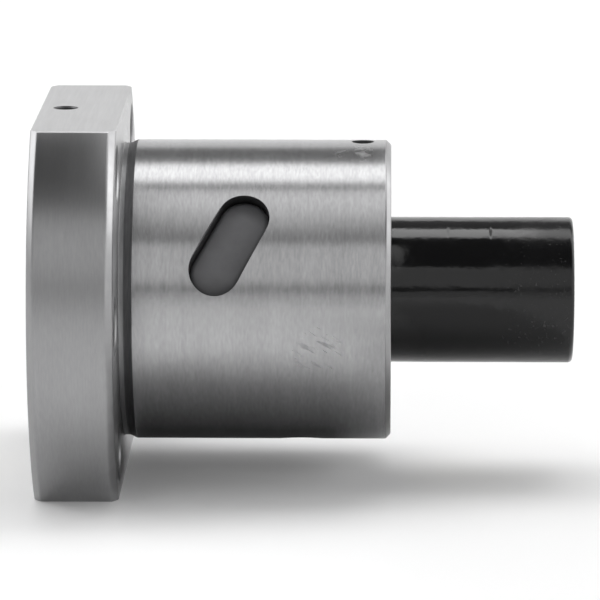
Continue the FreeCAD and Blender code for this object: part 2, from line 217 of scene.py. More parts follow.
oil_radius, oil_depth, oil_mouth, oil_drill_radius = 2.5 * MM, 6.0 * MM, 0.3 * MM, 1.0 * MM
oil_drill_margin = 0.1 * MM
oil_drill_x = flange_x / 2 + oil_radius - oil_drill_radius - oil_drill_margin
drill(holes, [
    (-flat_height - beyond, oil_radius + oil_mouth + beyond),
    (-flat_height + oil_mouth, oil_radius),
    (-flat_height + oil_depth, oil_radius),
], Matrix.Translation((flange_x / 2, 0, 0)))

slot_width, slot_length, slot_tilt = 6.0 * MM, 13.2 * MM, math.radians(28)
slot_break = 0.04 * MM
lead = 5.0 * MM
circuit_lift, circuit_step, middle_circuit_x = 28.0, 120.0, 13.0 * MM


def barrel_ring(solid, width, length, tilt, radius):
    """A round-ended slot's outline, laid on a cylinder about the screw axis at the top of the barrel."""
    ring = bmesh.ops.create_circle(solid, radius=width / 2, segments=slot_steps)["verts"]
    for vert in ring:
        vert.co.y += math.copysign((length - width) / 2, vert.co.y)
    bmesh.ops.rotate(solid, verts=ring, cent=(0, 0, 0), matrix=Matrix.Rotation(-tilt, 3, "Z"))
    for vert in ring:
        vert.co.z = math.sqrt(radius ** 2 - vert.co.y ** 2)
    return ring


def circuit_place(step):
    """Where a circuit's slot lies: along the thread and round the axis from the top of the barrel."""
    turn = 90 - circuit_lift + circuit_step * step
    along = middle_circuit_x + lead * (1 + circuit_step / 360) * step
    return Matrix.Translation((along, 0, 0)) @ Matrix.Rotation(math.radians(turn), 4, "X")


def mill(solid, width, length, tilt, deep, place):
    """A slot tool from deep inside the bore out past the barrel, flared where it breaks the surface."""
    rings = []
    for radius, spread in (
        (deep, 0.0),
        (barrel_radius - slot_break, 0.0),
        (barrel_radius + slot_break, 2 * slot_break),
        (barrel_radius + beyond, 2 * slot_break),
    ):
        ring = barrel_ring(solid, width + 2 * spread, length + 2 * spread, tilt, radius)
        bmesh.ops.transform(solid, verts=ring, matrix=place)
        rings.append(edges_of(ring))
    skin(solid, rings)


# each circuit's number, and its steps along the thread from the middle one
circuits = {1: -1, 2: 0, 3: 1}
for step in circuits.values():
    mill(holes, slot_width, slot_length, slot_tilt, inside_bore, circuit_place(step))
nose_lock_x = nose_x - 3.4 * MM
mill(holes, 2 * lock_radius, 2 * lock_radius, 0.0, seat_radius - beyond,
     Matrix.Translation((nose_lock_x, 0, 0)))

ball_circle_radius, groove_radius = 10.4 * MM, 1.6475 * MM
thread_steps = 120
thread_start_x, thread_turns = -6.61 * MM, 7


def threaded(section, turns):
    """Drives a section in the plane of x and y round the screw axis, one lead to a turn."""
    bmesh.ops.spin(section, geom=section.verts[:] + section.edges[:] + section.faces[:], cent=(0, 0, 0),
                   axis=(1, 0, 0), dvec=(lead / thread_steps, 0, 0), angle=math.tau * turns,
                   steps=thread_steps * turns)
    bmesh.ops.recalc_face_normals(section, faces=section.faces)
    return section


groove = bmesh.new()
bmesh.ops.create_circle(groove, cap_ends=True, radius=groove_radius, segments=groove_steps,
                        matrix=Matrix.Translation((thread_start_x, ball_circle_radius, 0)))

nut_piece = as_object(nut, "nut")
cut_away(nut_piece, as_object(holes, "holes"))
oil_drilling = bmesh.new()
drill(oil_drilling, [
    (-flat_height + oil_depth - beyond, oil_drill_radius),
    (-inside_bore, oil_drill_radius),
], Matrix.Translation((oil_drill_x, 0, 0)))
cut_away(nut_piece, as_object(oil_drilling, "oil_drilling"))
cut_away(nut_piece, as_object(threaded(groove, thread_turns), "groove"))


def linear(code):
    """An sRGB hex colour as linear red, green, blue and alpha."""
    shares = [int(code[at:at + 2], 16) / 255 for at in (1, 3, 5)]
    levels = [share / 12.92 if share <= 0.04045 else ((share + 0.055) / 1.055) ** 2.4 for share in shares]
    return levels + [1.0]


def add_node(tree, kind, inputs, out=0, **settings):
    """Adds a node with its settings and gives one output. An input is another node's output, or a value."""
    node = tree.nodes.new(kind)
    for name, value in settings.items():
        setattr(node, name, value)
    for socket, given in inputs.items():
        if isinstance(given, bpy.types.NodeSocket):
            tree.links.new(given, node.inputs[socket])
        else:
            node.inputs[socket].default_value = given
    return node.outputs[out]


def new_material(name, inputs):
    """A material whose shader has the given constant inputs, with its tree, shader and Object coordinates."""
    material = bpy.data.materials.new(name)
    material.use_nodes = True
    tree = material.node_tree
    shader = tree.nodes["Principled BSDF"]
    for socket, value in inputs.items():
        shader.inputs[socket].default_value = value
    return material, tree, shader, add_node(tree, "ShaderNodeTexCoord", {}, out="Object")


def steel_finish(name, shades, roughness, gloss_spread, anisotropy, grain_width, grain_length, grain_depth,
                 ring_share=1.0, scuffs=()):
    """Bearing steel with the grain that a lathe, a cutter or a grinding wheel leaves.

    The grain lines lie side by side along the barrel and, by ring_share, in rings on the flange's faces.
    gloss_spread is how much glossier the light lines are than the mean. Below zero they are duller."""
    material, tree, shader, place = new_material(name, {"Metallic": 1.0, "Anisotropic": anisotropy})
    off_axis = add_node(tree, "ShaderNodeVectorMath", {0: place, 1: (0, 1, 1)}, operation="MULTIPLY")
    along = add_node(tree, "ShaderNodeVectorMath", {0: place, 1: (1, 0, 0)}, out="Value",
                     operation="DOT_PRODUCT")
    outward = add_node(tree, "ShaderNodeVectorMath", {0: off_axis}, out="Value", operation="LENGTH")
    feed = add_node(tree, "ShaderNodeMath", {0: outward, 1: ring_share, 2: along}, operation="MULTIPLY_ADD")
    across = add_node(tree, "ShaderNodeCombineXYZ", {"X": feed})
    lengthwise = add_node(tree, "ShaderNodeVectorMath", {0: off_axis, "Scale": 1 / grain_length},
                          operation="SCALE")
    grain_place = add_node(tree, "ShaderNodeVectorMath", {
        0: across, 1: (1 / grain_width, 0, 0), 2: lengthwise}, operation="MULTIPLY_ADD")
    grain = add_node(tree, "ShaderNodeTexNoise", {"Vector": grain_place, "Scale": 1.0, "Detail": 1.0})
    # marks where the wheel or tool dwelt, about 3 grain lines wide and 12 grains long
    mark_place = add_node(tree, "ShaderNodeVectorMath", {0: grain_place, 1: (0.3, 0.08, 0.08)},
                          operation="MULTIPLY")
    marks = add_node(tree, "ShaderNodeTexNoise", {"Vector": mark_place, "Scale": 1.0, "Detail": 1.0})
    # thin smears of preserving oil, about 6 mm across
    smears = add_node(tree, "ShaderNodeTexNoise", {"Vector": place, "Scale": 1 / (6 * MM), "Detail": 3.0})
    # the shade follows the grain most, then the marks, then the smears
    lines = add_node(tree, "ShaderNodeMath", {0: marks, 1: 0.6, 2: grain}, operation="MULTIPLY_ADD")
    mottle = add_node(tree, "ShaderNodeMath", {0: smears, 1: 0.4, 2: lines}, operation="MULTIPLY_ADD")
    tone = add_node(tree, "ShaderNodeMapRange", {"Value": mottle, "From Min": 0.6, "From Max": 1.4})
    gloss = add_node(tree, "ShaderNodeMapRange", {
        "Value": tone, "To Min": roughness + gloss_spread, "To Max": roughness - gloss_spread})
    # slanting strokes, where the surface was rubbed in handling
    stroke_width, stroke_length = 0.4 * MM, 1.8 * MM
    for centre, reach, slant, strength in scuffs:
        slanted = add_node(tree, "ShaderNodeVectorRotate", {"Vector": place, "Angle": math.radians(slant)},
                           rotation_type="Y_AXIS")
        stroke_place = add_node(tree, "ShaderNodeVectorMath", {
            0: slanted, 1: (1 / stroke_length, 1 / stroke_length, 1 / stroke_width)}, operation="MULTIPLY")
        flecks = add_node(tree, "ShaderNodeTexNoise", {"Vector": stroke_place, "Scale": 1.0, "Detail": 2.0})
        sparse = add_node(tree, "ShaderNodeMapRange", {"Value": flecks, "From Min": 0.54, "From Max": 0.66})
        away = add_node(tree, "ShaderNodeVectorMath", {0: place, 1: centre}, out="Value",
                        operation="DISTANCE")
        near = add_node(tree, "ShaderNodeMapRange", {
            "Value": away, "From Min": reach, "From Max": 0.4 * reach})
        rubbed = add_node(tree, "ShaderNodeMath", {0: sparse, 1: near}, operation="MULTIPLY")
        tone = add_node(tree, "ShaderNodeMath", {0: rubbed, 1: strength, 2: tone}, operation="MULTIPLY_ADD")
        gloss = add_node(tree, "ShaderNodeMath", {0: rubbed, 1: 0.1, 2: gloss}, operation="MULTIPLY_ADD")
    colour = add_node(tree, "ShaderNodeMix", {0: tone, 6: linear(shades[0]), 7: linear(shades[1])}, out=2,
                      data_type="RGBA", clamp_factor=False)
    relief = add_node(tree, "ShaderNodeBump", {"Height": lines, "Distance": grain_depth})
    # the tool feeds along the barrel, and outwards on the flange's faces
    radial = add_node(tree, "ShaderNodeVectorMath", {0: off_axis}, operation="NORMALIZE")
    feed_way = add_node(tree, "ShaderNodeVectorMath", {0: radial, 1: (0.3, 0.3, 0.3), 2: (1, 0, 0)},
                        operation="MULTIPLY_ADD")
    tree.links.new(colour, shader.inputs["Base Color"])
    tree.links.new(gloss, shader.inputs["Roughness"])
    tree.links.new(relief, shader.inputs["Normal"])
    tree.links.new(feed_way, shader.inputs["Tangent"])
    return material


def on_barrel(x, lift):
    """A place on the barrel's front, so far along it and so many degrees above the middle."""
    return (x, -barrel_radius * math.cos(math.radians(lift)), barrel_radius * math.sin(math.radians(lift)))


# ground: a fine short grain and a satin shine that is drawn out along the barrel, and scuffed near the nose
ground_steel = steel_finish(
    "ground_bearing_steel", ("#A0A0A1", "#B4B4B5"), roughness=0.26, gloss_spread=-0.012, anisotropy=0.5,
    grain_width=0.25 * MM, grain_length=1.0 * MM, grain_depth=0.0004 * MM,
    scuffs=[
        # middle, reach, slant in degrees, and how much lighter it is, or darker below zero
        (on_barrel(23.4 * MM, -13.5), 3.4 * MM, -30, -1.1),
        (on_barrel(27.8 * MM, 75), 2.6 * MM, 10, 2.5),
    ])
# turned: duller and darker than the ground barrel, with a faint even grain
turned_steel = steel_finish(
    "turned_bearing_steel", ("#969697", "#9F9FA0"), roughness=0.32, gloss_spread=0.03, anisotropy=0.1,
    grain_width=0.2 * MM, grain_length=1.2 * MM, grain_depth=0.003 * MM)
# faced: the flat faces square to the axis, cut in fine rings that draw the shine out towards the rim
faced_steel = steel_finish(
    "faced_bearing_steel", ("#A6A6A7", "#B4B4B5"), roughness=0.34, gloss_spread=0.03, anisotropy=0.6,
    grain_width=0.3 * MM, grain_length=4.0 * MM, grain_depth=0.002 * MM)
# milled: the two flats, with straight lines along the cut
milled_steel = steel_finish(
    "milled_bearing_steel", ("#B7B7B8", "#BEBEBF"), roughness=0.32, gloss_spread=0.02, anisotropy=0.4,
    grain_width=0.3 * MM, grain_length=6.0 * MM, grain_depth=0.002 * MM, ring_share=0.0)
# undercut: the narrow floor where the grinding wheel runs out, left from the lathe, its darker colour painted
# shade in the groove
undercut_shade_steel = steel_finish(
    "undercut_shade_bearing_steel", ("#7E7E7F", "#8A8A8B"), roughness=0.38, gloss_spread=0.03, anisotropy=0.1,
    grain_width=0.2 * MM, grain_length=1.2 * MM, grain_depth=0.003 * MM)
# the undercut's ramp, the slots' walls and the tapped holes are darker, as painted shade in these recesses,
# and keep the rough tool marks
recess_shade_steel = steel_finish(
    "recess_shade_bearing_steel", ("#5A5A5B", "#707071"), roughness=0.45, gloss_spread=0.05, anisotropy=0.2,
    grain_width=0.25 * MM, grain_length=2.0 * MM, grain_depth=0.01 * MM)


def finish_piece(piece, materials, body, node, smooth_angle=30):
    """Gives a piece its materials and smooth shading, and puts it in place of a node of the frame."""
    piece.data.materials.clear()
    for material in materials:
        piece.data.materials.append(material)
    piece.data.shade_smooth()
    piece.data.set_sharp_from_angle(angle=math.radians(smooth_angle))
    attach(piece, body)
    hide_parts(node)


tapped_holes = [
    # place along the screw axis, radius at the mouth, and up or down
    (flange_lock_x, lock_radius + lock_mouth, 1),
    (nose_lock_x, lock_radius + 2 * slot_break, 1),
    (flange_x / 2, oil_radius + oil_mouth, -1),
]
steel_finishes = [turned_steel, ground_steel, faced_steel, milled_steel, undercut_shade_steel, recess_shade_steel]
# how far a face's normal lies along the axis when it is square to it, and how deep the undercut is at most
square_to_axis, relief_reach = 0.999, 1.2 * relief_depth


def steel_zone(face, vertices):
    """The finish that a face of the nut has."""
    corners = [vertices[at].co for at in face.vertices]
    radii = [math.hypot(corner.y, corner.z) for corner in corners]
    centre = face.center
    # the tapped holes, the undercut and the slots' walls take the darker finishes, which paint their shade
    for hole_x, hole_radius, up in tapped_holes:
        reach = max(math.hypot(corner.x - hole_x, corner.y) for corner in corners)
        if reach < hole_radius + 2 * slack and centre.z * up > seat_radius - beyond:
            return recess_shade_steel
    if max(radii) < seat_radius + slack:
        return ground_steel
    if abs(face.normal.x) > square_to_axis:
        return faced_steel
    if centre.x < slack:
        nearest = min(abs(corner.z) for corner in corners)
        return milled_steel if nearest > flat_height - break_width else turned_steel
    if min(radii) > barrel_radius - slack:
        return ground_steel
    if centre.x < relief_floor + relief_ramp and min(radii) > barrel_radius - relief_reach:
        return undercut_shade_steel if centre.x < relief_floor - lathe_ease else recess_shade_steel
    return turned_steel if centre.x > nose_x - nose_chamfer - lathe_ease else recess_shade_steel


finish_piece(nut_piece, steel_finishes, "nut", "nut_body", smooth_angle=15)
for face in nut_piece.data.polygons:
    face.material_index = steel_finishes.index(steel_zone(face, nut_piece.data.vertices))

# Return inserts: three caps of dark grey nylon, moulded, and pressed into the slots below the surface.
# The top is crowned, and a channel inside leads the balls over the thread's crest.
insert_top_radius = barrel_radius - 2.0 * MM
insert_play = 0.02 * MM
insert_crown, insert_round, round_steps = 0.08 * MM, 0.7 * MM, 6
# the crown's last ring stops just short of the middle
crown_share = 0.95
# in degrees round the axis: the ball path's half span, its run-out at each end, and a step for its heading
crossover_half_span, channel_run_out, heading_step = 25.0, 13.0, 0.5
crossover_rise, channel_stations = 1.3 * MM, 32


def crossover_point(turn):
    """The ball path over the crest, so many degrees from the middle of an insert at the top of the barrel."""
    share = max(-1.0, min(1.0, turn / crossover_half_span))
    blend = (share + 1) / 2
    shift = blend * blend * (3 - 2 * blend)
    radius = ball_circle_radius + crossover_rise * (1 - share * share) ** 2
    angle = math.radians(90 + turn)
    along = lead * (turn / 360 + 0.5 - shift)
    return Vector((along, radius * math.cos(angle), radius * math.sin(angle)))


def crowned_cap(solid, place):
    """A slot-shaped block whose top edge is rounded and whose top bulges across its width."""
    half_width = slot_width / 2 - insert_play
    side_top = insert_top_radius - insert_crown - insert_round
    levels = [(0.0, land_radius), (0.0, side_top)]
    for corner_step in range(1, round_steps + 1):
        corner = math.radians(90 * corner_step / round_steps)
        levels.append((insert_round * (1 - math.cos(corner)), side_top + insert_round * math.sin(corner)))
    for crown_step in range(1, round_steps + 1):
        inset = insert_round + (crown_share * half_width - insert_round) * crown_step / round_steps
        bulge = 1 - (1 - inset / half_width) ** 2 / (1 - insert_round / half_width) ** 2
        levels.append((inset, insert_top_radius - insert_crown + insert_crown * bulge))
    rings = []
    for inset, radius in levels:
        spare = 2 * (insert_play + inset)
        ring = barrel_ring(solid, slot_width - spare, slot_length - spare, slot_tilt, radius)
        bmesh.ops.transform(solid, verts=ring, matrix=place)
        rings.append(edges_of(ring))
    skin(solid, rings)


def ball_channel(solid, place):
    """A round tunnel along the ball path, a little longer than the insert."""
    reach = crossover_half_span + channel_run_out
    turns = [reach * (2 * station / channel_stations - 1) for station in range(channel_stations + 1)]
    rings = []
    for turn in turns:
        onwards = crossover_point(turn + heading_step) - crossover_point(turn - heading_step)
        heading = onwards.to_track_quat("Z", "Y").to_matrix().to_4x4()
        station_place = place @ Matrix.Translation(crossover_point(turn)) @ heading
        ring = bmesh.ops.create_circle(solid, radius=groove_radius, segments=groove_steps,
                                       matrix=station_place)["verts"]
        rings.append(edges_of(ring))
    skin(solid, rings)


# glass-filled nylon straight from the mould: dull dark grey with a fine spark-eroded texture
resin, resin_tree, resin_shader, resin_place = new_material("moulded_grey_nylon", {"IOR": 1.53})
# pits 0.12 mm across, and clouds about 2 mm across
resin_pits = add_node(resin_tree, "ShaderNodeTexNoise", {
    "Vector": resin_place, "Scale": 1 / (0.12 * MM), "Detail": 2.0})
resin_clouds = add_node(resin_tree, "ShaderNodeTexNoise", {
    "Vector": resin_place, "Scale": 1 / (2 * MM), "Detail": 3.0})
resin_mottle = add_node(resin_tree, "ShaderNodeMath", {0: resin_pits, 1: 0.5, 2: resin_clouds},
                        operation="MULTIPLY_ADD")
resin_tone = add_node(resin_tree, "ShaderNodeMapRange", {
    "Value": resin_mottle, "From Min": 0.4, "From Max": 1.1})
resin_colour = add_node(resin_tree, "ShaderNodeMix", {
    0: resin_tone, 6: linear("#565658"), 7: linear("#666668")}, out=2, data_type="RGBA")
resin_gloss = add_node(resin_tree, "ShaderNodeMapRange", {
    "Value": resin_clouds, "To Min": 0.4, "To Max": 0.55})
resin_relief = add_node(resin_tree, "ShaderNodeBump", {"Height": resin_pits, "Distance": 0.006 * MM})
resin_tree.links.new(resin_colour, resin_shader.inputs["Base Color"])
resin_tree.links.new(resin_gloss, resin_shader.inputs["Roughness"])
resin_tree.links.new(resin_relief, resin_shader.inputs["Normal"])
for number, step in circuits.items():
    cap, tunnel = bmesh.new(), bmesh.new()
    crowned_cap(cap, circuit_place(step))
    ball_channel(tunnel, circuit_place(step))
    insert_piece = as_object(cap, f"insert_{number}")
    cut_away(insert_piece, as_object(tunnel, "tunnel"))
    finish_piece(insert_piece, [resin], "nut", f"return_insert_{number}")

# Balls: polished chrome steel, loose in their three closed rows.
# Only the lapping haze keeps them from being perfect mirrors.
ball_steel, ball_tree, ball_shader, ball_place = new_material("lapped_chrome_steel", {"Metallic": 1.0})
# haze in patches about 0.8 mm across
ball_haze = add_node(ball_tree, "ShaderNodeTexNoise", {
    "Vector": ball_place, "Scale": 1 / (0.8 * MM), "Detail": 3.0})
ball_gloss = add_node(ball_tree, "ShaderNodeMapRange", {"Value": ball_haze, "To Min": 0.04, "To Max": 0.12})
ball_colour = add_node(ball_tree, "ShaderNodeMix", {
    0: ball_haze, 6: linear("#C6C6C8"), 7: linear("#D4D4D6")}, out=2, data_type="RGBA")
ball_tree.links.new(ball_gloss, ball_shader.inputs["Roughness"])
ball_tree.links.new(ball_colour, ball_shader.inputs["Base Color"])
for number in circuits:
    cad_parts[f"ball_circuit_{number}"].data.materials[0] = ball_steel

# Wipers: two rings of natural nylon, turned, sitting in the seats at the ends of the bore.
# A rib inside each follows the screw's thread and keeps dirt out.
wiper_recess, wiper_play, wiper_edge = 0.5 * MM, 0.1 * MM, 0.25 * MM
wiper_width = seat_depth - wiper_recess
wiper_radius, wiper_lip_radius = seat_radius - wiper_play, 8.95 * MM
crest_width, crest_radius = 2.0 * MM, 10.15 * MM
crest_start_x, crest_turns = thread_start_x - 1.5 * lead, 11


def tube_outline(low_x, high_x, inner_radius, outer_radius, ease):
    """A ring's outline, its two outer corners eased."""
    return [
        (low_x, outer_radius, ease),
        (high_x, outer_radius, ease),
        (high_x, inner_radius, sharp),
        (low_x, inner_radius, sharp),
    ]


# turned nylon: waxy off-white, with faint rings from the tool on its faces
nylon, nylon_tree, nylon_shader, nylon_place = new_material("natural_nylon", {
    "IOR": 1.53, "Subsurface Weight": 0.15,
    "Subsurface Radius": (1.0, 0.9, 0.7), "Subsurface Scale": 0.5 * MM})
nylon_off_axis = add_node(nylon_tree, "ShaderNodeVectorMath", {0: nylon_place, 1: (0, 1, 1)},
                          operation="MULTIPLY")
nylon_radius = add_node(nylon_tree, "ShaderNodeVectorMath", {0: nylon_off_axis}, out="Value",
                        operation="LENGTH")
# tool rings 0.25 mm apart, drawn by the radius alone, and clouds about 3 mm across
nylon_feed = add_node(nylon_tree, "ShaderNodeMath", {0: nylon_radius, 1: 1 / (0.25 * MM)},
                      operation="MULTIPLY")
nylon_rings = add_node(nylon_tree, "ShaderNodeTexNoise", {"W": nylon_feed, "Scale": 1.0, "Detail": 1.0},
                       noise_dimensions="1D")
nylon_clouds = add_node(nylon_tree, "ShaderNodeTexNoise", {
    "Vector": nylon_place, "Scale": 1 / (3 * MM), "Detail": 2.0})
nylon_colour = add_node(nylon_tree, "ShaderNodeMix", {
    0: nylon_clouds, 6: linear("#DCD5C2"), 7: linear("#EBE6D8")}, out=2, data_type="RGBA")
nylon_gloss = add_node(nylon_tree, "ShaderNodeMapRange", {
    "Value": nylon_rings, "To Min": 0.32, "To Max": 0.5})
nylon_relief = add_node(nylon_tree, "ShaderNodeBump", {"Height": nylon_rings, "Distance": 0.008 * MM})
nylon_tree.links.new(nylon_colour, nylon_shader.inputs["Base Color"])
nylon_tree.links.new(nylon_gloss, nylon_shader.inputs["Roughness"])
nylon_tree.links.new(nylon_relief, nylon_shader.inputs["Normal"])
for wiper_name, low_x in (("flange_end", flange_x + wiper_recess), ("nose_end", nose_x - seat_depth)):
    ring = turned(tube_outline(low_x, low_x + wiper_width, wiper_lip_radius, wiper_radius, wiper_edge))
    crest = bmesh.new()
    crest_place = (Matrix.Translation((crest_start_x, crest_radius - crest_width / 2, 0))
                   @ Matrix.Diagonal((crest_width, crest_width, 1, 1)))
    bmesh.ops.create_grid(crest, x_segments=1, y_segments=1, size=0.5, matrix=crest_place)
    wiper_piece = as_object(ring, f"wiper_{wiper_name}")
    cut_away(wiper_piece, as_object(threaded(crest, crest_turns), "crest"))
    finish_piece(wiper_piece, [nylon], "nut", f"wiper_{wiper_name}")

# Lock screws: two small socket set screws of blackened steel, driven down on to the wipers.
# Blackening leaves a satin dark grey that the oil makes uneven.
black_steel, black_tree, black_shader, black_place = new_material("black_oxide_steel", {"Metallic": 1.0})
# oil film in patches about 0.5 mm across
black_film = add_node(black_tree, "ShaderNodeTexNoise", {
    "Vector": black_place, "Scale": 1 / (0.5 * MM), "Detail": 3.0})
black_colour = add_node(black_tree, "ShaderNodeMix", {
    0: black_film, 6: linear("#222224"), 7: linear("#38383A")}, out=2, data_type="RGBA")
black_gloss = add_node(black_tree, "ShaderNodeMapRange", {"Value": black_film, "To Min": 0.3, "To Max": 0.5})
black_tree.links.new(black_colour, black_shader.inputs["Base Color"])
black_tree.links.new(black_gloss, black_shader.inputs["Roughness"])
for end in ("flange", "nose"):
    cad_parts[f"wiper_screw_{end}"].data.materials[0] = black_steel

# Transport arbor: a black polyethylene tube, extruded and cut to length, that keeps the balls in the nut.
# It is flush with the flange and stands out at the nose, and its ends are rounded.
sleeve_low, sleeve_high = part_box("arbor_sleeve")
sleeve_radius, sleeve_bore_radius = sleeve_high.z, 6.75 * MM
sleeve_edge = 0.5 * MM
sleeve_outline = tube_outline(sleeve_low.x, sleeve_high.x, sleeve_bore_radius, sleeve_radius, sleeve_edge)
sleeve_piece = as_object(turned(sleeve_outline), "sleeve")
# extruded polyethylene: a deep gloss with slight waves, greasy, and rubbed dull at the free end
sleeve_plastic, sleeve_tree, sleeve_shader, sleeve_place = new_material("black_polyethylene", {"IOR": 1.47})
# die lines about 0.7 mm wide and 9 mm long
sleeve_lines_place = add_node(sleeve_tree, "ShaderNodeMapping", {
    "Vector": sleeve_place, "Scale": (1 / (9 * MM), 1 / (0.7 * MM), 1 / (0.7 * MM))})
sleeve_lines = add_node(sleeve_tree, "ShaderNodeTexNoise", {
    "Vector": sleeve_lines_place, "Scale": 1.0, "Detail": 2.0})
# waves about 3 mm across, ripples about 0.8 mm across, and grease in patches of about 2.2 mm
sleeve_waves = add_node(sleeve_tree, "ShaderNodeTexNoise", {
    "Vector": sleeve_place, "Scale": 1 / (3 * MM), "Detail": 2.0})
sleeve_ripples = add_node(sleeve_tree, "ShaderNodeTexNoise", {
    "Vector": sleeve_place, "Scale": 1 / (0.8 * MM), "Detail": 1.0})
sleeve_grease = add_node(sleeve_tree, "ShaderNodeTexNoise", {
    "Vector": sleeve_place, "Scale": 1 / (2.2 * MM), "Detail": 4.0, "Distortion": 0.8})
sleeve_along = add_node(sleeve_tree, "ShaderNodeVectorMath", {0: sleeve_place, 1: (1, 0, 0)}, out="Value",
                        operation="DOT_PRODUCT")
# the dull part starts raggedly, about 8 mm short of the free end
sleeve_ragged = add_node(sleeve_tree, "ShaderNodeMath", {0: sleeve_grease, 1: 6 * MM, 2: sleeve_along},
                         operation="MULTIPLY_ADD")
sleeve_dull = add_node(sleeve_tree, "ShaderNodeMapRange", {
    "Value": sleeve_ragged, "From Min": sleeve_high.x - 6.5 * MM, "From Max": sleeve_high.x - 3 * MM})
sleeve_film = add_node(sleeve_tree, "ShaderNodeMapRange", {
    "Value": sleeve_grease, "From Min": 0.4, "From Max": 0.7, "To Min": 0.1, "To Max": 0.16})
sleeve_gloss = add_node(sleeve_tree, "ShaderNodeMath", {0: sleeve_dull, 1: 0.08, 2: sleeve_film},
                        operation="MULTIPLY_ADD")
# dust in specks about 0.35 mm across, on the dull part alone
sleeve_specks = add_node(sleeve_tree, "ShaderNodeTexNoise", {
    "Vector": sleeve_place, "Scale": 1 / (0.35 * MM)})
sleeve_dust = add_node(sleeve_tree, "ShaderNodeMapRange", {
    "Value": sleeve_specks, "From Min": 0.66, "From Max": 0.72})
sleeve_dusty = add_node(sleeve_tree, "ShaderNodeMath", {0: sleeve_dust, 1: sleeve_dull}, operation="MULTIPLY")
sleeve_colour = add_node(sleeve_tree, "ShaderNodeMix", {
    0: sleeve_dusty, 6: linear("#0B0B0C"), 7: linear("#343434")}, out=2, data_type="RGBA")
sleeve_height = add_node(sleeve_tree, "ShaderNodeMath", {0: sleeve_lines, 1: 0.15, 2: sleeve_waves},
                         operation="MULTIPLY_ADD")
sleeve_height = add_node(sleeve_tree, "ShaderNodeMath", {0: sleeve_ripples, 1: 0.3, 2: sleeve_height},
                         operation="MULTIPLY_ADD")
# two small nicks from handling, scraped dull, each with its place along the tube, depth and dullness
nick_width, nick_length, nick_rise = 0.28 * MM, 1.5 * MM, math.radians(62)
for nick_x, nick_depth, nick_dull in ((43.9 * MM, -1.6, 0.45), (38.8 * MM, -0.7, 0.15)):
    nick_middle = (nick_x, -sleeve_radius * math.cos(nick_rise), sleeve_radius * math.sin(nick_rise))
    nick_place = add_node(sleeve_tree, "ShaderNodeMapping", {
        "Vector": sleeve_place, "Location": nick_middle, "Scale": (nick_width, nick_length, nick_length)},
        vector_type="TEXTURE")
    nick_away = add_node(sleeve_tree, "ShaderNodeVectorMath", {0: nick_place}, out="Value",
                         operation="LENGTH")
    nick = add_node(sleeve_tree, "ShaderNodeMapRange", {"Value": nick_away, "From Min": 1.0, "From Max": 0.0},
                    interpolation_type="SMOOTHERSTEP")
    sleeve_height = add_node(sleeve_tree, "ShaderNodeMath", {0: nick, 1: nick_depth, 2: sleeve_height},
                             operation="MULTIPLY_ADD")
    sleeve_gloss = add_node(sleeve_tree, "ShaderNodeMath", {0: nick, 1: nick_dull, 2: sleeve_gloss},
                            operation="MULTIPLY_ADD")
# the free end is finely scratched
sleeve_scratches = add_node(sleeve_tree, "ShaderNodeMath", {0: sleeve_specks, 1: sleeve_dull},
                            operation="MULTIPLY")
sleeve_height = add_node(sleeve_tree, "ShaderNodeMath", {0: sleeve_scratches, 1: 0.15, 2: sleeve_height},
                         operation="MULTIPLY_ADD")
sleeve_relief = add_node(sleeve_tree, "ShaderNodeBump", {"Height": sleeve_height, "Distance": 0.04 * MM})
sleeve_tree.links.new(sleeve_colour, sleeve_shader.inputs["Base Color"])
sleeve_tree.links.new(sleeve_gloss, sleeve_shader.inputs["Roughness"])
sleeve_tree.links.new(sleeve_relief, sleeve_shader.inputs["Normal"])
finish_piece(sleeve_piece, [sleeve_plastic], "arbor", "arbor_sleeve")

# Floor: a plain table covered with smooth white paper.
# The nut lies on its lower flat and throws a soft shadow there.
floor_reach = 6.0
floor_mesh = bmesh.new()
bmesh.ops.create_grid(floor_mesh, x_segments=1, y_segments=1, size=floor_reach,
                      matrix=Matrix.Translation((0, 0, cad_box[0].z)))
floor = as_object(floor_mesh, "floor")
floor_paper, floor_tree, floor_shader, floor_place = new_material("white_paper", {"Roughness": 0.9})
# paper fibres about 0.4 mm long, hardly seen
floor_fibres = add_node(floor_tree, "ShaderNodeTexNoise", {
    "Vector": floor_place, "Scale": 1 / (0.4 * MM), "Detail": 2.0})
floor_colour = add_node(floor_tree, "ShaderNodeMix", {
    0: floor_fibres, 6: linear("#FAFAFA"), 7: linear("#FDFDFD")}, out=2, data_type="RGBA")
floor_tree.links.new(floor_colour, floor_shader.inputs["Base Color"])
floor.data.materials.append(floor_paper)

# Lights: a white tent over the table, with a bright strip overhead and a lamp at each side.
# A hood hangs close over the barrel, a small lamp over the sleeve, and a large one lights the table.
# Dark cards under the nut, seen only in its reflections, are painted shade: they darken the underside's
# reflection of the floor.
world = bpy.data.worlds.new("light_tent")
world.use_nodes = True
bpy.context.scene.world = world
tent = world.node_tree
direction = add_node(tent, "ShaderNodeTexCoord", {}, out="Generated")
heading = add_node(tent, "ShaderNodeSeparateXYZ", {"Vector": direction}).node.outputs
front_share = add_node(tent, "ShaderNodeMath", {0: heading["Y"], 1: -1.0}, operation="MULTIPLY")
tent_angle = add_node(tent, "ShaderNodeMath", {0: heading["Z"], 1: front_share}, operation="ARCTAN2")
tent_turn = add_node(tent, "ShaderNodeMapRange", {
    "Value": tent_angle, "From Min": -math.pi, "From Max": math.pi})
tent_arch = add_node(tent, "ShaderNodeValToRGB", {"Fac": tent_turn})
brightest = 3.0
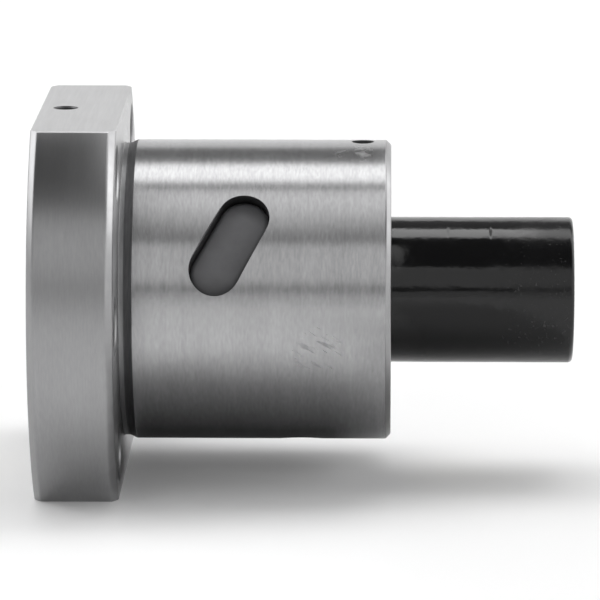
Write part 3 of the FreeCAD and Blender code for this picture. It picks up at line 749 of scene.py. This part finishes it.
# light levels over the arch of the tent, in degrees from the front horizon up and over to the back
tent_levels = [
    (-180, 0.99), (-4, 0.75), (8.0, 0.75), (8.5, 0.08), (13.0, 0.08), (13.5, 0.86), (39.0, 0.85), (45.5, 1.0),
    (46.5, 0.08), (99, 0.08), (102, 2.36), (121, 2.36), (124, 0.22), (148, 0.22), (152, 0.95), (180, 0.99),
]
stops = tent_arch.node.color_ramp.elements
while len(stops) < len(tent_levels):
    stops.new(0.5)
for stop, (angle, level) in zip(stops, tent_levels):
    stop.position = (angle + 180) / 360
    stop.color = [level / brightest] * 3 + [1.0]
sideways = add_node(tent, "ShaderNodeMath", {0: heading["X"]}, operation="ABSOLUTE")
side_share = add_node(tent, "ShaderNodeMapRange", {"Value": sideways, "From Min": 0.5, "From Max": 0.7},
                      interpolation_type="SMOOTHSTEP")
# the right wall is nearer and brighter than the left, and the left lamp is stronger than the right
left_wall, right_wall, left_lamp, right_lamp = 0.65, 1.18, 2.3, 1.2
side_reach = 0.6
wall_light = add_node(tent, "ShaderNodeMapRange", {
    "Value": heading["X"], "From Min": -side_reach, "From Max": side_reach,
    "To Min": left_wall / brightest, "To Max": right_wall / brightest})
# the lamps stand above the table and a little behind the nut
lamp_rise = add_node(tent, "ShaderNodeMapRange", {"Value": heading["Z"], "From Min": 0.05, "From Max": 0.38},
                     interpolation_type="SMOOTHSTEP")
lamp_back = add_node(tent, "ShaderNodeMapRange", {"Value": heading["Y"], "From Min": -0.1, "From Max": 0.1},
                     interpolation_type="SMOOTHSTEP")
lamp_share = add_node(tent, "ShaderNodeMath", {0: lamp_rise, 1: lamp_back}, operation="MULTIPLY")
lamp_light = add_node(tent, "ShaderNodeMapRange", {
    "Value": heading["X"], "From Min": -side_reach, "From Max": side_reach,
    "To Min": left_lamp / brightest, "To Max": right_lamp / brightest})
# the walls are lit low down and dark towards the top
wall_top = add_node(tent, "ShaderNodeMapRange", {
    "Value": heading["Z"], "From Min": 0.45, "From Max": 0.65, "To Min": 1.0, "To Max": 0.25})
wall = add_node(tent, "ShaderNodeMath", {0: wall_light, 1: wall_top}, operation="MULTIPLY")
side_light = add_node(tent, "ShaderNodeMath", {0: lamp_share, 1: lamp_light, 2: wall},
                      operation="MULTIPLY_ADD")
tent_light = add_node(tent, "ShaderNodeMix", {0: side_share, 6: tent_arch, 7: side_light}, out=2,
                      data_type="RGBA")
tent.nodes["Background"].inputs["Strength"].default_value = brightest
tent.links.new(tent_light, tent.nodes["Background"].inputs["Color"])


def hang_lamp(name, place, width, depth, radiance, turn=0):
    """A soft lamp, as bright as a white card of that radiance, that faces down or is turned about Y."""
    data = bpy.data.lights.new(name, "AREA")
    data.shape = "RECTANGLE"
    data.size, data.size_y = width, depth
    data.energy = radiance * math.pi * width * depth
    lamp = bpy.data.objects.new(name, data)
    lamp.location = place
    lamp.rotation_euler.y = math.radians(turn)
    lamp.visible_camera = False
    bpy.context.scene.collection.objects.link(lamp)
    return lamp


# a large lamp above and behind lights the table, and is kept out of the shine
floor_lamp = hang_lamp("floor_lamp", (0, 0.5, 1.2), width=0.9, depth=0.9, radiance=1.6)
floor_lamp.visible_glossy = False
# a small lamp close over the sleeve brightens the highlight along it
hang_lamp("sleeve_lamp", Vector((42.5, 3.6, 26.0)) * MM, width=19 * MM, depth=8 * MM, radiance=1.3)
# a small white hood over the barrel's front fills its upper side: a top, and two ends that face each other
hood_low = Vector((0.6, -48.0, 20.0)) * MM
hood_high = Vector((34.5, -9.8, 46.0)) * MM
hood_size, hood_middle = hood_high - hood_low, (hood_low + hood_high) / 2
# each panel fades towards the front, from this share of its depth and this strength
fade_start, fade_strength = 0.78, 1.13
hood_panels = [
    # name, middle, width, radiance, turn in degrees, where the fade ends, and the strength there
    ("hood_top", (hood_middle.x, hood_middle.y, hood_high.z), hood_size.x, 1.0, 0, 0.0, 0.2),
    ("hood_left", (hood_low.x, hood_middle.y, hood_middle.z), hood_size.z, 0.65, -90, 0.35, 0.05),
    ("hood_right", (hood_high.x, hood_middle.y, hood_middle.z), hood_size.z, 1.1, 90, 0.35, 0.05),
]
for panel_name, panel_middle, panel_width, radiance, turn, fade_end, dimmest in hood_panels:
    panel = hang_lamp(panel_name, panel_middle, panel_width, hood_size.y, radiance, turn)
    panel.data.use_nodes = True
    panel_tree = panel.data.node_tree
    panel_place = add_node(panel_tree, "ShaderNodeNewGeometry", {}, out="Parametric")
    panel_spot = add_node(panel_tree, "ShaderNodeSeparateXYZ", {"Vector": panel_place}).node.outputs
    panel_fade = add_node(panel_tree, "ShaderNodeMapRange", {
        "Value": panel_spot["Y"], "From Min": fade_end, "From Max": fade_start,
        "To Min": dimmest, "To Max": fade_strength})
    panel_tree.links.new(panel_fade, panel_tree.nodes["Emission"].inputs["Strength"])


def lay_shade_card(name, low_x, high_x, bare_x, full_x, half_width, full_half_width, thinning, cover):
    """A dark card under the nut, seen only in the nut's reflections: painted shade that gives the underside a
    dark edge.

    It covers fully at full_x and near the middle, and thins out to bare_x and to its front and back."""
    card_mesh = bmesh.new()
    card_place = (Matrix.Translation(((low_x + high_x) / 2, 0, cad_box[0].z + card_lift))
                  @ Matrix.Diagonal((high_x - low_x, 2 * half_width, 1, 1)))
    bmesh.ops.create_grid(card_mesh, x_segments=1, y_segments=1, size=0.5, matrix=card_place)
    card = as_object(card_mesh, name)
    painted_shade, tree, shader, place = new_material(f"{name}_felt", {"Roughness": 1.0})
    # fibres about 0.5 mm long vary the painted shade a little
    fibres = add_node(tree, "ShaderNodeTexNoise", {"Vector": place, "Scale": 1 / (0.5 * MM), "Detail": 2.0})
    colour = add_node(tree, "ShaderNodeMix", {0: fibres, 6: linear("#080808"), 7: linear("#101010")}, out=2,
                      data_type="RGBA")
    across = add_node(tree, "ShaderNodeVectorMath", {0: place, 1: (0, 1, 0)}, out="Value",
                      operation="DOT_PRODUCT")
    off_middle = add_node(tree, "ShaderNodeMath", {0: across}, operation="ABSOLUTE")
    near = add_node(tree, "ShaderNodeMapRange", {
        "Value": off_middle, "From Min": half_width, "From Max": full_half_width})
    dense = add_node(tree, "ShaderNodeMath", {0: near, 1: thinning}, operation="POWER")
    along = add_node(tree, "ShaderNodeVectorMath", {0: place, 1: (1, 0, 0)}, out="Value",
                     operation="DOT_PRODUCT")
    share = add_node(tree, "ShaderNodeMapRange", {
        "Value": along, "From Min": bare_x, "From Max": full_x, "To Max": cover})
    cover_here = add_node(tree, "ShaderNodeMath", {0: dense, 1: share}, operation="MULTIPLY")
    tree.links.new(colour, shader.inputs["Base Color"])
    tree.links.new(cover_here, shader.inputs["Alpha"])
    card.data.materials.append(painted_shade)
    card.visible_camera = False
    card.visible_diffuse = False
    card.visible_transmission = False
    card.visible_shadow = False


card_lift = 0.1 * MM
# painted shade: a dark card under the barrel and a fainter one under the sleeve
lay_shade_card("barrel_shade_card", low_x=0.8 * MM, high_x=37 * MM, bare_x=37 * MM, full_x=25 * MM,
         half_width=45 * MM, full_half_width=4 * MM, thinning=2.0, cover=0.85)
lay_shade_card("sleeve_shade_card", low_x=31 * MM, high_x=56 * MM, bare_x=31 * MM, full_x=37 * MM,
         half_width=200 * MM, full_half_width=60 * MM, thinning=1.0, cover=0.4)

# Camera: a long lens on a stand at the nut's side, near the nose end.
# It looks slightly down, with the small turns and the roll that the photo has.
camera_distance, camera_x = 578.8 * MM, 30.95 * MM
camera_rise, camera_yaw = math.radians(10.64), math.radians(-0.98)
camera_dip, camera_roll = math.radians(0.132), math.radians(0.166)
# in millimetres, as the camera takes them
sensor_width, lens_length = 36.0, 288.1
camera_data = bpy.data.cameras.new("camera")
camera_data.sensor_width = sensor_width
camera_data.lens = lens_length
camera = bpy.data.objects.new("camera", camera_data)
stand = Vector((camera_x, -camera_distance * math.cos(camera_rise), camera_distance * math.sin(camera_rise)))
camera.matrix_world = (Matrix.Translation(stand)
                       @ Matrix.Rotation(math.radians(90) - camera_rise, 4, "X")
                       @ Matrix.Rotation(-camera_yaw, 4, "Y")
                       @ Matrix.Rotation(-camera_dip, 4, "X")
                       @ Matrix.Rotation(camera_roll, 4, "Z"))
bpy.context.scene.collection.objects.link(camera)
bpy.context.scene.camera = camera
bpy.context.scene.view_settings.view_transform = "Standard"
